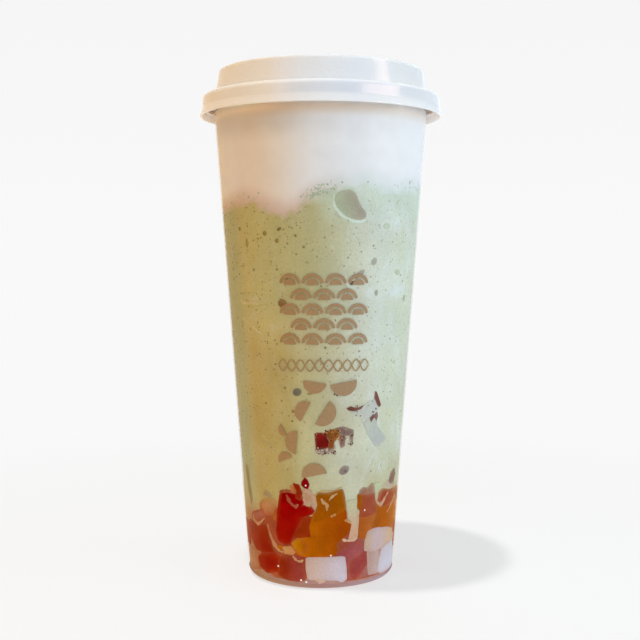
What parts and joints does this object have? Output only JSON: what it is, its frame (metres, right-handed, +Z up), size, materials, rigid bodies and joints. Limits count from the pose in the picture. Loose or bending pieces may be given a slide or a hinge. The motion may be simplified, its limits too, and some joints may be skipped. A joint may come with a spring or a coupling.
{
  "type": "matcha smoothie in a lidded takeaway cup",
  "caption": "Matcha smoothie with a cream top and red and amber jelly cubes in a tall frosted plastic cup with a white press-on lid.",
  "frame": {"origin": "on the cup's axis at the level it stands on", "axes": "+Z up along the cup's axis, from the foot to the lid; -Y is the front"},
  "size_m": [0.0972, 0.0972, 0.2021],
  "materials": {
    "frosted_plastic": "frosted, translucent",
    "white_plastic": "satin gloss",
    "cream": "soft whipped cream seen through the frosted wall",
    "matcha_drink": "milky, opaque",
    "jelly": "glossy set jelly"
  },
  "bodies": {
    "root": {"cup": "frosted_plastic", "lid": "white_plastic", "cream_layer": "cream", "matcha_layer": "matcha_drink", "jelly_heap": "jelly"}
  },
  "joints": []
}
